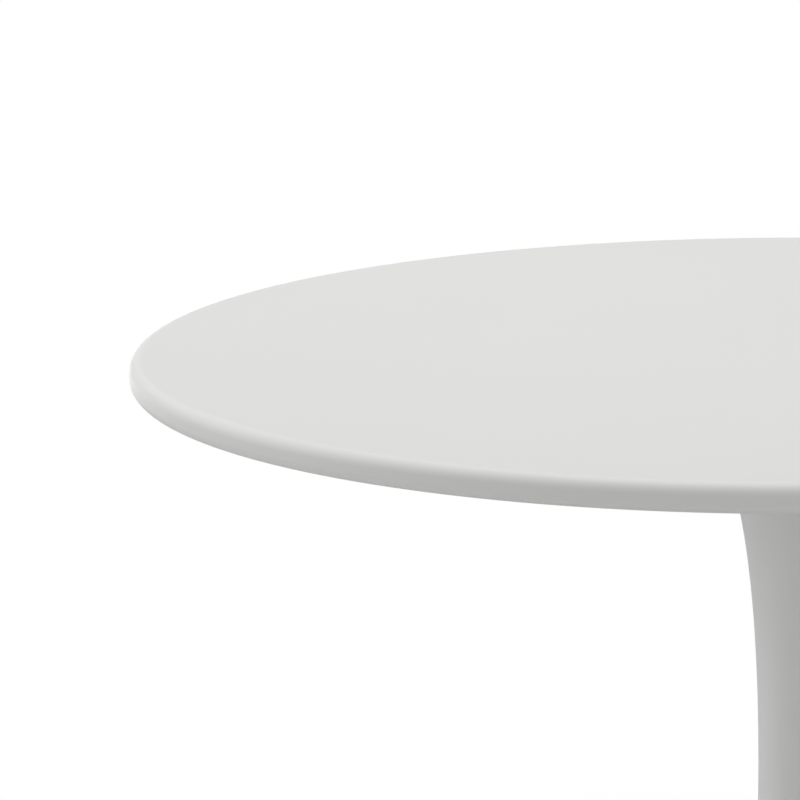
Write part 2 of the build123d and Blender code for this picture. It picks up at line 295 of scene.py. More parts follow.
def threaded(size, low, high, play=0.0):
    """Bar with a right-hand 60-degree thread and chamfered ends, closed at both."""
    major, pitch = size[0] + play, size[1]
    minor = major - THREAD_DEPTH * pitch
    tooth = [(minor, 0), (minor, 1 / 4), (major, 9 / 16), (major, 11 / 16), (minor, 1)]
    bm = bmesh.new()
    verts = [bm.verts.new((r, 0, low + pitch * (share - 1.5))) for r, share in tooth]
    edges = [bm.edges.new(pair) for pair in zip(verts, verts[1:])]
    turns = int((high - low) / pitch) + 3
    bmesh.ops.spin(
        bm,
        geom=verts + edges,
        axis=(0, 0, 1),
        dvec=(0, 0, pitch / THREAD_STEPS),
        angle=2 * pi * turns,
        steps=THREAD_STEPS * turns,
    )
    bmesh.ops.remove_doubles(bm, verts=bm.verts, dist=pitch / 100)
    for height, outward in ((low, -1), (high, 1)):
        geometry = bm.verts[:] + bm.edges[:] + bm.faces[:]
        bmesh.ops.bisect_plane(
            bm, geom=geometry, plane_co=(0, 0, height), plane_no=(0, 0, outward), clear_outer=True
        )
    if not play:
        for vert in bm.verts:
            limit = minor - pitch * THREAD_CHAMFER + min(vert.co.z - low, high - vert.co.z)
            reach = vert.co.xy.length
            if reach > limit:
                vert.co.x *= limit / reach
                vert.co.y *= limit / reach
    open_edges = [e for e in bm.edges if e.is_boundary]
    bmesh.ops.holes_fill(bm, edges=open_edges, sides=0)
    bmesh.ops.recalc_face_normals(bm, faces=bm.faces)
    return bm


def prism(across_flats, low, high):
    """Six-sided bar with its corners on X."""
    bm = bmesh.new()
    made = bmesh.ops.create_circle(
        bm, cap_ends=True, segments=6, radius=across_flats / 2 / cos(pi / 6)
    )
    bmesh.ops.rotate(bm, verts=made["verts"], matrix=Matrix.Rotation(pi / 2, 3, "Z"))
    bmesh.ops.translate(bm, verts=made["verts"], vec=(0, 0, low))
    raised = bmesh.ops.extrude_face_region(bm, geom=bm.faces[:])["geom"]
    tops = [item for item in raised if isinstance(item, bmesh.types.BMVert)]
    bmesh.ops.translate(bm, verts=tops, vec=(0, 0, high - low))
    bmesh.ops.recalc_face_normals(bm, faces=bm.faces)
    return bm


def repeated(bm, places):
    """The same shape standing at each place."""
    shape = bpy.data.meshes.new("shape")
    bm.to_mesh(shape)
    bm.clear()
    for place in places:
        first = len(bm.verts)
        bm.from_mesh(shape)
        bm.verts.ensure_lookup_table()
        bmesh.ops.translate(bm, verts=bm.verts[first:], vec=place)
    bpy.data.meshes.remove(shape)
    return bm


def together(*parts):
    """Several shapes in one."""
    bm = parts[0]
    for part in parts[1:]:
        shape = bpy.data.meshes.new("shape")
        part.to_mesh(shape)
        bm.from_mesh(shape)
        bpy.data.meshes.remove(shape)
        part.free()
    return bm


def combined(bm, tool, operation="DIFFERENCE"):
    """The shape with the tool's shape cut out, joined on or kept in common."""
    objects = []
    for shape in (bm, tool):
        mesh = bpy.data.meshes.new("shape")
        shape.to_mesh(mesh)
        shape.free()
        holder = bpy.data.objects.new("shape", mesh)
        bpy.context.scene.collection.objects.link(holder)
        objects.append(holder)
    body, cutter = objects
    modifier = body.modifiers.new("combine", "BOOLEAN")
    modifier.operation = operation
    modifier.solver = "EXACT"
    modifier.object = cutter
    bpy.context.view_layer.update()
    solid = body.evaluated_get(bpy.context.evaluated_depsgraph_get())
    result = bmesh.new()
    result.from_mesh(solid.to_mesh())
    solid.to_mesh_clear()
    for holder in objects:
        mesh = holder.data
        bpy.data.objects.remove(holder)
        bpy.data.meshes.remove(mesh)
    bmesh.ops.remove_doubles(result, verts=result.verts, dist=1e-7)
    bmesh.ops.dissolve_degenerate(result, edges=result.edges, dist=1e-7)
    return result


def chamfered_hexagon(across_flats, low, high, ends=(True, True)):
    """Bolt head or nut, with the corners turned off at the chosen ends."""
    inner = across_flats / 2 * CHAMFER_CIRCLE
    corner = across_flats / 2 / cos(pi / 6) * CHAMFER_REACH
    drop = (corner - inner) * tan(CHAMFER_ANGLE)
    outline = [(0, low)]
    outline += [(inner, low), (corner, low + drop)] if ends[0] else [(corner, low)]
    outline += [(corner, high - drop), (inner, high)] if ends[1] else [(corner, high)]
    outline += [(0, high)]
    spare = (high - low) / 2
    return combined(
        turned(outline), prism(across_flats, low - spare, high + spare), "INTERSECT"
    )


def piece(name, bm, node, materials, choose=None, sharp=30):
    """Finished piece in place of a CAD node, riding on that node's body."""
    mesh = bpy.data.meshes.new(name)
    bm.normal_update()
    for face in bm.faces:
        face.smooth = True
        if choose:
            face.material_index = choose(face)
    bm.to_mesh(mesh)
    bm.free()
    for material in materials:
        mesh.materials.append(material)
    mesh.set_sharp_from_angle(angle=radians(sharp))
    made = bpy.data.objects.new(name, mesh)
    bpy.context.scene.collection.objects.link(made)
    even = made.modifiers.new("even shading", "WEIGHTED_NORMAL")
    even.keep_sharp = True
    body = frame["nodes"][node]["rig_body"]
    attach(made, body)
    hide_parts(node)


# ---- Finishes ----


class Wire:
    """An output of a node. Arithmetic on it adds Math nodes."""

    def __init__(self, graph, socket):
        self.graph = graph
        self.socket = socket

    def math(self, operation, *values):
        settings = {"operation": operation}
        return self.graph.node("Math", settings, dict(enumerate(values)))

    def __add__(self, other):
        return self.math("ADD", self, other)

    def __sub__(self, other):
        return self.math("SUBTRACT", self, other)

    def __rsub__(self, other):
        return self.math("SUBTRACT", other, self)

    def __mul__(self, other):
        return self.math("MULTIPLY", self, other)

    def __pow__(self, other):
        return self.math("POWER", self, other)

    def at_least(self, limit):
        return self.math("MAXIMUM", self, limit)

    def sine(self):
        return self.math("SINE", self)

    __radd__ = __add__
    __rmul__ = __mul__


class Graph:
    """The nodes of a material or of the surroundings."""

    def __init__(self, tree):
        self.tree = tree

    def node(self, kind, settings=None, inputs=None, output=0):
        """A new node with its settings, then its sockets' values or links. Gives one output."""
        made = self.tree.nodes.new("ShaderNode" + kind)
        for key, value in (settings or {}).items():
            if key == "stops":
                for stop, (position, level) in zip(made.color_ramp.elements, value):
                    stop.position = position
                    stop.color = (level, level, level, 1)
            else:
                setattr(made, key, value)
        for key, value in (inputs or {}).items():
            self.feed(made.inputs[key], value)
        return Wire(self, made.outputs[output])

    def feed(self, socket, value):
        if isinstance(value, Wire):
            self.tree.links.new(value.socket, socket)
        else:
            socket.default_value = value


class Finish(Graph):
    """One material: its shader, and the nodes that feed it."""

    def __init__(self, name):
        self.material = bpy.data.materials.new(name)
        self.material.use_nodes = True
        super().__init__(self.material.node_tree)
        self.shader = self.tree.nodes["Principled BSDF"]
        self.place = self.node("TexCoord", output="Object")

    def shade(self, **values):
        """Sets or links the shader's sockets, named with _ for each space."""
        for key, value in values.items():
            self.feed(self.shader.inputs[key.replace("_", " ")], value)

    def speckle(self, scale, detail=2.0, roughness=0.5, place=None):
        """Soft noise from 0 to 1, with about scale spots to the metre."""
        inputs = {
            "Vector": place or self.place,
            "Scale": scale,
            "Detail": detail,
            "Roughness": roughness,
        }
        return self.node("TexNoise", None, inputs, "Fac")

    def ramp(self, value, low, high):
        """0 below low, 1 above high."""
        settings = {"stops": [(low, 0), (high, 1)]}
        return self.node("ValToRGB", settings, {"Fac": value}, "Color")

    def blend(self, share, first, second):
        """From the first colour to the second by a share."""
        settings = {"data_type": "RGBA"}
        return self.node("Mix", settings, {0: share, 6: first, 7: second}, 2)

    def stretched(self, scale):
        """The object's own coordinates, scaled along each axis."""
        return self.node("Mapping", None, {"Vector": self.place, "Scale": scale})

    def axis(self, name):
        """One of the object's own coordinates."""
        return self.node("SeparateXYZ", None, {"Vector": self.place}, name)

    def relief(self, height):
        """Fine relief, from a height in metres."""
        return self.node("Bump", None, {"Height": height, "Distance": 1.0})


def grey(level):
    return (level, level, level, 1)


def top_lacquer():
    """White satin lacquer, sprayed and rubbed: faint orange peel and hairlines."""
    coat = Finish("white satin lacquer")
    cloud = coat.speckle(3.0, 3.0)
    peel = coat.speckle(260.0, 2.0, 0.4)
    grain = coat.speckle(1500.0, 1.0)
    hairlines = coat.speckle(90.0, 3.0, 0.6, coat.stretched((0.5, 14.0, 1.0)))
    crossed = coat.speckle(90.0, 3.0, 0.6, coat.stretched((11.0, 0.7, 1.0)))
    rubbed = coat.ramp(hairlines, 0.62, 0.74) + coat.ramp(crossed, 0.64, 0.76)
    coat.shade(
        Base_Color=coat.blend(cloud, (0.795, 0.792, 0.782, 1), (0.812, 0.809, 0.800, 1)),
        Roughness=0.50 + 0.05 * cloud + 0.04 * grain - 0.03 * rubbed,
        Specular_IOR_Level=0.25,
        Normal=coat.relief(0.0000015 * rubbed + 0.000012 * peel),
    )
    return coat.material


def underside_sealer():
    """Thin white sealer on the board's underside, with the sanding showing."""
    coat = Finish("white underside sealer")
    fibres = coat.speckle(700.0, 4.0, 0.7)
    sanding = coat.speckle(60.0, 4.0, 0.6, coat.stretched((1.0, 30.0, 1.0)))
    cloud = coat.speckle(7.0, 4.0)
    coat.shade(
        Base_Color=coat.blend(cloud, (0.68, 0.675, 0.66, 1), (0.76, 0.755, 0.745, 1)),
        Roughness=0.58 + 0.12 * fibres,
        Normal=coat.relief(0.00003 * sanding + 0.00004 * fibres),
    )
    return coat.material


def board_core():
    """Cut fibreboard, brown and matt, inside the pockets for the inserts."""
    core = Finish("cut fibreboard")
    fibres = core.speckle(2200.0, 5.0, 0.7)
    flecks = core.ramp(core.speckle(900.0, 3.0, 0.8), 0.45, 0.7)
    core.shade(
        Base_Color=core.blend(flecks, (0.33, 0.21, 0.11, 1), (0.55, 0.40, 0.24, 1)),
        Roughness=0.9 - 0.1 * fibres,
        Normal=core.relief(0.0002 * fibres),
    )
    return core.material


def pedestal_coat():
    """White satin coat over a hand-finished casting."""
    coat = Finish("white satin pedestal coat")
    cloud = coat.speckle(5.0, 3.0)
    hollows = coat.speckle(28.0, 1.0)
    peel = coat.speckle(420.0, 2.0, 0.45)
    grain = coat.speckle(1800.0, 1.0)
    coat.shade(
        Base_Color=coat.blend(cloud, (0.790, 0.790, 0.785, 1), (0.808, 0.808, 0.804, 1)),
        Roughness=0.27 + 0.05 * cloud + 0.04 * grain,
        Normal=coat.relief(0.000014 * peel + 0.00005 * hollows),
    )
    return coat.material


def raw_casting():
    """Bare cast aluminium inside the shell, with white overspray near the lip."""
    cast = Finish("raw cast aluminium")
    sand = cast.speckle(900.0, 5.0, 0.75)
    scale = cast.speckle(160.0, 4.0, 0.6)
    height = cast.axis("Z")
    spray = cast.ramp(1.0 - height * 45.0 + 0.5 * (scale - 0.5), 0.25, 0.75)
    bare = cast.blend(scale, (0.36, 0.36, 0.37, 1), (0.52, 0.52, 0.53, 1))
    cast.shade(
        Base_Color=cast.blend(spray, bare, (0.74, 0.74, 0.735, 1)),
        Metallic=1.0 - spray,
        Roughness=0.55 + 0.25 * sand,
        Normal=cast.relief(0.0003 * sand + 0.0008 * scale),
    )
    return cast.material


def powder_coat():
    """Black fine-textured powder coat on the plate and hub."""
    coat = Finish("black powder coat")
    wrinkle = coat.speckle(1300.0, 3.0, 0.55)
    cloud = coat.speckle(20.0, 3.0)
    rub = coat.ramp(coat.speckle(55.0, 6.0, 0.7), 0.62, 0.8)
    coat.shade(
        Base_Color=coat.blend(rub, grey(0.022), grey(0.040)),
        Roughness=0.46 + 0.10 * cloud + 0.08 * wrinkle,
        Normal=coat.relief(0.00012 * wrinkle),
    )
    return coat.material


def machined_steel():
    """Turned steel faces of the hub, with tool rings."""
    steel = Finish("turned steel")
    x, y = steel.axis("X"), steel.axis("Y")
    radius = (x * x + y * y) ** 0.5
    rings = (15000.0 * radius).sine()
    cloud = steel.speckle(60.0, 4.0)
    steel.shade(
        Base_Color=steel.blend(cloud, grey(0.42), grey(0.58)),
        Metallic=1.0,
        Roughness=0.30 + 0.12 * cloud,
        Normal=steel.relief(0.00002 * rings),
    )
    return steel.material


def zinc_plate():
    """Bright zinc plating, a little blue in places, with dull patches and fine scratches."""
    zinc = Finish("bright zinc plating")
    patches = zinc.speckle(180.0, 4.0, 0.6)
    blush = zinc.ramp(zinc.speckle(70.0, 3.0), 0.45, 0.7)
    scratches = zinc.speckle(400.0, 4.0, 0.7, zinc.stretched((1.0, 1.0, 12.0)))
    silver = zinc.blend(patches, (0.60, 0.61, 0.63, 1), (0.78, 0.78, 0.77, 1))
    zinc.shade(
        Base_Color=zinc.blend(blush, silver, (0.66, 0.70, 0.76, 1)),
        Metallic=1.0,
        Roughness=0.24 + 0.16 * patches + 0.06 * scratches,
        Normal=zinc.relief(0.00002 * scratches),
    )
    return zinc.material


def drawn_brass():
    """Machined brass with slight tarnish."""
    brass = Finish("machined brass")
    tarnish = brass.speckle(350.0, 5.0, 0.65)
    brass.shade(
        Base_Color=brass.blend(tarnish, (0.80, 0.60, 0.27, 1), (0.55, 0.37, 0.14, 1)),
        Metallic=1.0,
        Roughness=0.24 + 0.26 * tarnish,
        Normal=brass.relief(0.00002 * tarnish),
    )
    return brass.material


def painted_iron():
    """Sand-cast iron under thin black paint, with rust where the paint is thin."""
    iron = Finish("painted cast iron")
    sand = iron.speckle(520.0, 6.0, 0.75)
    lumps = iron.speckle(75.0, 4.0, 0.6)
    thin = iron.ramp(iron.speckle(38.0, 8.0, 0.75), 0.60, 0.72)
    paint = iron.blend(sand, grey(0.030), grey(0.065))
    rust = iron.blend(sand, (0.16, 0.065, 0.030, 1), (0.30, 0.13, 0.055, 1))
    iron.shade(
        Base_Color=iron.blend(thin, paint, rust),
        Roughness=0.58 + 0.2 * sand + 0.12 * thin,
        Normal=iron.relief(0.0005 * sand + 0.0012 * lumps),
    )
    return iron.material


def moulded_nylon():
    """Black moulded nylon, finely textured and scuffed underneath."""
    nylon = Finish("black nylon")
    texture = nylon.speckle(2600.0, 2.0)
    scuffs = nylon.ramp(nylon.speckle(240.0, 6.0, 0.75), 0.55, 0.75)
    low = nylon.ramp(1.0 - nylon.axis("Z") * 700.0, 0.2, 0.8)
    worn = scuffs * low
    nylon.shade(
        Base_Color=nylon.blend(worn, grey(0.028), grey(0.10)),
        Roughness=0.44 + 0.06 * texture + 0.25 * worn,
        Normal=nylon.relief(0.00008 * texture),
    )
    return nylon.material


def studio_floor():
    """Plain pale floor, which fades into the white backdrop around it."""
    floor = Finish("pale floor")
    cloud = floor.speckle(0.4, 2.0)
    x, y = (floor.axis(name) for name in "XY")
    away = (x * x + y * y) ** 0.5 * (1 / FLOOR_SIZE)
    kept = 1 - floor.ramp(away, FADE_START / FLOOR_SIZE, FADE_END / FLOOR_SIZE)
    floor.shade(
        Base_Color=floor.blend(cloud, grey(0.78), grey(0.81)),
        Roughness=0.8,
        Alpha=kept * kept,
    )
    return floor.material


# ---- The table's pieces ----


def tabletop():
    """Round board with rounded arrises and a bevel under its edge."""
    lean = atan2(EDGE_LEAN, EDGE_HEIGHT)
    corner_radius = top_radius + UPPER_ARRIS * ((1 + sin(lean)) / cos(lean) - 1)
    lower_radius = corner_radius - EDGE_LEAN
    edge_low = table_height - EDGE_HEIGHT
    bevel_start = (lower_radius - BEVEL_WIDTH, board_low.z)
    board = turned(
        [
            (0, table_height),
            (corner_radius, table_height),
            (lower_radius, edge_low),
            bevel_start,
            (0, board_low.z),
        ],
        TOP_STEPS,
    )
    round_ring(board, (corner_radius, table_height), UPPER_ARRIS, 16)
    round_ring(board, (lower_radius, edge_low), LOWER_ARRIS, 14)
    round_ring(board, bevel_start, BEVEL_ROUNDING, 3)
    drill = turned(
        [
            (0, board_low.z - DRILL_REACH),
            (POCKET_RADIUS, board_low.z - DRILL_REACH),
            (POCKET_RADIUS, insert_high.z),
            (0, insert_high.z),
        ]
    )
    board = combined(board, repeated(drill, screw_places))
    near = POCKET_RADIUS * NEAR_SHARE

    def surface(face):
        middle = face.calc_center_median()
        low = middle.z < edge_low - LOWER_ARRIS / 2
        pocket = any((middle.xy - place.xy).length < near for place in screw_places)
        if pocket and board_low.z + TINY < middle.z < table_height - TINY:
            return 2
        return 1 if low and face.normal.z < -0.5 else 0

    finishes = [top_lacquer(), underside_sealer(), board_core()]
    piece("lacquered_top", board, "tabletop", finishes, surface)


def shell_outline():
    """Outside of the shell from its lip to its rim, as (radius, height) points."""
    lip_top = shell_low.z + LIP_HEIGHT
    rim_top = shell_high.z

    def at(radius, height):
        return Vector((radius, height, 0))

    def share(start, end, part):
        return start + (end - start) * part

    foot = (
        at(foot_radius, lip_top),
        at(
            share(NECK_RADIUS, foot_radius, FOOT_PULL[0]),
            share(lip_top, NECK_HEIGHT, FOOT_PULL[1]),
        ),
        at(NECK_RADIUS, share(lip_top, NECK_HEIGHT, NECK_PULL_BELOW)),
        at(NECK_RADIUS, NECK_HEIGHT),
    )
    rim = (
        at(NECK_RADIUS, NECK_HEIGHT),
        at(NECK_RADIUS, share(NECK_HEIGHT, rim_top, NECK_PULL_ABOVE)),
        at(
            share(NECK_RADIUS, RIM_RADIUS, RIM_PULL[0]),
            share(NECK_HEIGHT, rim_top, RIM_PULL[1]),
        ),
        at(RIM_RADIUS, rim_top),
    )
    foot_curve = interpolate_bezier(*foot, FOOT_CURVE_POINTS)
    rim_curve = interpolate_bezier(*rim, RIM_CURVE_POINTS)
    return foot_curve + rim_curve[1:]


def pedestal():
    """Cast shell: trumpet outside, the same inside, with bosses standing in the foot."""
    outside = shell_outline()
    seat_radius = RIM_RADIUS - RIM_WIDTH
    seat_floor = shell_high.z - SEAT_DEPTH
    ledge_low = seat_floor - LEDGE_THICKNESS
    lip_inside = foot_radius - LIP_WIDTH
    inside = []
    for before, here, after in zip(outside, outside[1:], outside[2:]):
        along = (after - before).normalized()
        point = here + WALL * Vector((-along.y, along.x, 0))
        if point.x < lip_inside and point.y < ledge_low:
            inside.append((point.x, point.y))
    (outer, low), (inner, high) = inside[:2]
    lip_inside_top = low - (lip_inside - outer) * (high - low) / (outer - inner)
    inside.insert(0, (lip_inside, lip_inside_top))
    lip_corner = (foot_radius, shell_low.z + LIP_HEIGHT)
    foot_corner = (foot_radius, shell_low.z)
    rim_corner = (RIM_RADIUS, shell_high.z)
    seat_corner = (seat_radius, shell_high.z)
    inner_corner = (lip_inside, shell_low.z)
    outline = [inner_corner, foot_corner]
    outline += [(point.x, point.y) for point in outside]
    outline += [
        seat_corner,
        (seat_radius, seat_floor),
        (seat_radius - LEDGE_WIDTH, seat_floor),
        (seat_radius - LEDGE_WIDTH, ledge_low),
        (inside[-1][0], ledge_low),
    ]
    outline += reversed(inside)
    shell = turned(outline, SHELL_STEPS)
    round_ring(shell, lip_corner, LIP_ROUNDING, 8)
    round_ring(shell, foot_corner, LIP_UNDER_ROUNDING, 3)
    round_ring(shell, inner_corner, LIP_INSIDE_ROUNDING, 3)
    round_ring(shell, rim_corner, RIM_ROUNDING, 3)
    round_ring(shell, seat_corner, SEAT_ROUNDING, 2)

    def wall_middle(radius):
        nearest = min(outside, key=lambda point: abs(point.x - radius) + point.y / 1000)
        return nearest.y - WALL / 2

    def bosses(radius, low, places):
        bar = turned([(0, low), (radius, low), (radius, low + 1), (0, low + 1)])
        stub = repeated(bar, places)
        for vert in stub.verts:
            if vert.co.z > low + WALL:
                vert.co.z = wall_middle(vert.co.xy.length)
        return stub

    bolt_boss_low = ballast_low.z + BALLAST_THICKNESS
    stubs = together(
        bosses(BOLT_BOSS_RADIUS, bolt_boss_low, bolt_places),
        bosses(GLIDE_BOSS_RADIUS, GLIDE_BOSS_LOW, glide_places),
    )
    shell = combined(shell, stubs, "UNION")
    bolt_hole_top = bolt_boss_low + BOLT_HOLE_DEPTH
    bolt_tap = threaded(M8, bolt_boss_low - M8[1], bolt_hole_top, THREAD_PLAY)
    glide_tap = threaded(M8, GLIDE_BOSS_LOW - M8[1], GLIDE_HOLE_TOP, THREAD_PLAY)
    taps = together(repeated(bolt_tap, bolt_places), repeated(glide_tap, glide_places))
    shell = combined(shell, taps)
    standing = bolt_places + glide_places
    near = GLIDE_BOSS_RADIUS * NEAR_BOSS_SHARE

    def surface(face):
        middle = face.calc_center_median()
        reach = middle.xy.length
        if middle.z > ledge_low + WALL and reach < RIM_RADIUS - 0.001:
            return 2
        near_boss = any((middle.xy - place.xy).length < near for place in standing)
        if near_boss and middle.z < wall_middle(reach):
            return 1
        outward = face.normal.xy.dot(middle.xy) / reach
        hidden_roof = face.normal.z < -0.99 and middle.z > shell_low.z + LIP_HEIGHT
        return 1 if outward < -0.01 or hidden_roof else 0

    finishes = [pedestal_coat(), raw_casting(), machined_steel()]
    piece("trumpet_shell", shell, "pedestal", finishes, surface)


def inserts():
    """Brass inserts with grooved outsides, threaded through."""
    low, high = insert_low.z, insert_high.z
    outer = POCKET_RADIUS - THREAD_PLAY
    groove = outer - GROOVE_DEPTH
    band = (high - low) / INSERT_BANDS
    outline = [(0, low)]
    for number in range(INSERT_BANDS):
        start = low + number * band
        outline += [
            (groove, start),
            (outer, start + GROOVE_RAMP),
            (outer, start + band - LAND_END),
            (groove, start + band - GROOVE_START),
        ]
    outline += [(groove, high), (0, high)]
    tap = threaded(M6, low - M6[1], high + M6[1], THREAD_PLAY)
    barrel = combined(turned(outline), tap)
    barrels = repeated(barrel, screw_places)
    piece("threaded_inserts", barrels, "tabletop_inserts", [drawn_brass()])


def plate():
    """Round steel plate with a chamfered lower edge and holes for the screws."""
    radius = plate_high.x
    disc = turned(
        [
            (0, plate_low.z),
            (radius - PLATE_CHAMFER, plate_low.z),
            (radius, plate_low.z + PLATE_CHAMFER),
            (radius, plate_high.z),
            (0, plate_high.z),
        ],
        DISC_STEPS,
    )
    drill = turned(
        [
            (0, plate_low.z - DRILL_REACH),
            (PLATE_HOLE_RADIUS, plate_low.z - DRILL_REACH),
            (PLATE_HOLE_RADIUS, plate_high.z + DRILL_REACH),
            (0, plate_high.z + DRILL_REACH),
        ]
    )
    disc = combined(disc, repeated(drill, screw_places))
    piece("top_plate", disc, "mounting_plate", [powder])


def hub():
    """Turned hub with a long boss, threaded for the tie rod."""
    shoulder = hub_high.z - HUB_DISC_THICKNESS
    shape = turned(
        [
            (0, hub_low.z),
            (HUB_BOSS_RADIUS, hub_low.z),
            (HUB_BOSS_RADIUS, shoulder),
            (hub_high.x, shoulder),
            (hub_high.x, hub_high.z),
            (0, hub_high.z),
        ],
        DISC_STEPS,
    )
    round_ring(shape, (HUB_BOSS_RADIUS, hub_low.z), HUB_BOSS_ROUNDING, 2)
    round_ring(shape, (hub_high.x, shoulder), HUB_DISC_ROUNDING, 2)
    tap = threaded(M12, hub_low.z - M12[1], shoulder, THREAD_PLAY)
    piece("tapped_hub", combined(shape, tap), "plate_hub", [machined_steel()])


def washer(name, node, radii, places, slit=0.0):
    """Flat ring at each place, with its edges just rounded, or split where there is a slit."""
    outer, inner = radii
    low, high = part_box(node)
    corners = [(inner, low.z), (outer, low.z), (outer, high.z), (inner, high.z)]
    ring = turned(corners)
    rounding = LOCK_WASHER_ROUNDING if slit else WASHER_ROUNDING
    for corner in corners:
        round_ring(ring, corner, rounding, 2)
    if slit:
        cutter = bmesh.new()
        bmesh.ops.create_cube(cutter, size=1)
        bmesh.ops.scale(cutter, verts=cutter.verts, vec=(outer, slit, 4 * (high.z - low.z)))
        slant = Matrix.Rotation(LOCK_WASHER_SLANT, 3, "X")
        bmesh.ops.rotate(cutter, verts=cutter.verts, matrix=slant)
        middle = (outer, 0, (low.z + high.z) / 2)
        bmesh.ops.translate(cutter, verts=cutter.verts, vec=middle)
        ring = combined(ring, cutter)
    piece(name, repeated(ring, places), node, [zinc])


def screws():
    """Button-head screws, heads down, with sockets for a hexagonal key."""
    head_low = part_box("mounting_screws")[0].z
    head_high = head_low + SCREW_HEAD_HEIGHT
    head = turned(
        [
            (0, head_low),
            (SCREW_HEAD_RADIUS, head_low),
            (SCREW_HEAD_RADIUS, head_high),
            (0, head_high),
        ]
    )
    round_ring(head, (SCREW_HEAD_RADIUS, head_low), SCREW_CROWN_ROUNDING, 8)
    round_ring(head, (SCREW_HEAD_RADIUS, head_high), SCREW_FACE_ROUNDING, 2)
    shank = threaded(M6, head_high - SCREW_OVERLAP, head_high + SCREW_LENGTH)
    flats, depth = SCREW_SOCKET
    socket = prism(flats, head_low - depth, head_low + depth)
    screw = combined(combined(head, shank, "UNION"), socket)
    several = repeated(screw, screw_places)
    piece("button_screws", several, "mounting_screws", [zinc])


def ballast():
    """Stepped iron disc with a pocket for the rod's nut and one for each bolt head."""
    low, high = ballast_low.z, ballast_high.z
    step = low + BALLAST_THICKNESS
    step_radius = bolt_circle - BALLAST_STEP_RADIUS_CLEARANCE
    nut_pocket, nut_pocket_depth = NUT_POCKET
    corners = {
        "rim low": (ballast_high.x, low),
        "rim high": (ballast_high.x, step),
        "step": (step_radius, high),
        "pocket": (nut_pocket, low),
    }
    disc = turned(
        [
            corners["pocket"],
            corners["rim low"],
            corners["rim high"],
            (step_radius, step),
            corners["step"],
            (ROD_HOLE_RADIUS, high),
            (ROD_HOLE_RADIUS, low + nut_pocket_depth),
            (nut_pocket, low + nut_pocket_depth),
        ],
        DISC_STEPS,
    )
    for corner in corners.values():
        round_ring(disc, corner, BALLAST_ROUNDING, 5)
    pocket, pocket_depth = BOLT_POCKET
    drill = turned(
        [
            (0, low - DRILL_REACH),
            (pocket, low - DRILL_REACH),
            (pocket, low + pocket_depth),
            (BOLT_HOLE_RADIUS, low + pocket_depth),
            (BOLT_HOLE_RADIUS, step + DRILL_REACH),
            (0, step + DRILL_REACH),
        ]
    )
    disc = combined(disc, repeated(drill, bolt_places))
    piece("iron_disc", disc, "ballast_disc", [painted_iron()])


def bolts():
    """Hexagon bolts, heads down."""
    head_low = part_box("ballast_bolts")[0].z
    head_high = head_low + BOLT_HEAD_HEIGHT
    head = chamfered_hexagon(BOLT_FLATS, head_low, head_high, (True, False))
    shank = threaded(M8, head_high - JOINT_OVERLAP, head_high + BOLT_LENGTH)
    bolt = combined(head, shank, "UNION")
    several = repeated(bolt, bolt_places)
    piece("hexagon_bolts", several, "ballast_bolts", [zinc])


def tie_rod():
    """Long rod, threaded at both ends."""
    low, high = rod_low.z, rod_high.z
    plain = M12[0] - ROD_PLAIN_UNDERSIZE
    bar_low = low + ROD_THREAD_LENGTH - ROD_OVERLAP
    bar_high = high - ROD_THREAD_LENGTH + ROD_OVERLAP
    bar = turned([(0, bar_low), (plain, bar_low), (plain, bar_high), (0, bar_high)])
    ends = together(
        threaded(M12, low, low + ROD_THREAD_LENGTH),
        threaded(M12, high - ROD_THREAD_LENGTH, high),
    )
    piece("threaded_rod", combined(bar, ends, "UNION"), "tie_rod", [zinc])


def rod_nut():
    """Hexagon nut, chamfered on both faces and threaded through."""
    low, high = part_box("rod_nut")
    nut = chamfered_hexagon(NUT_FLATS, low.z, high.z)
    tap = threaded(M12, low.z - 0.8 * M12[1], high.z + 0.8 * M12[1], THREAD_PLAY)
    piece("hexagon_nut", combined(nut, tap), "rod_nut", [zinc])


def glide_stud(number, place):
    """Levelling stud: a button for the pad, a hexagon collar and a threaded shank."""
    node = f"glide_stud_{number}"
    low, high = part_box(node)
    collar_high = GLIDE_BOSS_LOW - BUTTON_PLAY
    collar_low = collar_high - COLLAR_HEIGHT
    stem = turned(
        [
            (0, low.z),
            (BUTTON_RADIUS, low.z),
            (BUTTON_RADIUS, low.z + BUTTON_HEIGHT),
            (STUD_NECK_RADIUS, low.z + BUTTON_HEIGHT),
            (STUD_NECK_RADIUS, collar_low + JOINT_OVERLAP),
            (0, collar_low + JOINT_OVERLAP),
        ]
    )
    round_ring(stem, (BUTTON_RADIUS, low.z), BUTTON_ROUNDING, 3)
    round_ring(stem, (BUTTON_RADIUS, low.z + BUTTON_HEIGHT), BUTTON_ROUNDING, 3)
    collar = chamfered_hexagon(COLLAR_FLATS, collar_low, collar_high)
    shank = threaded(M8, collar_high - JOINT_OVERLAP, high.z)
    stud = combined(combined(stem, collar, "UNION"), shank, "UNION")
    piece(f"levelling_stud_{number}", repeated(stud, [place]), node, [zinc])


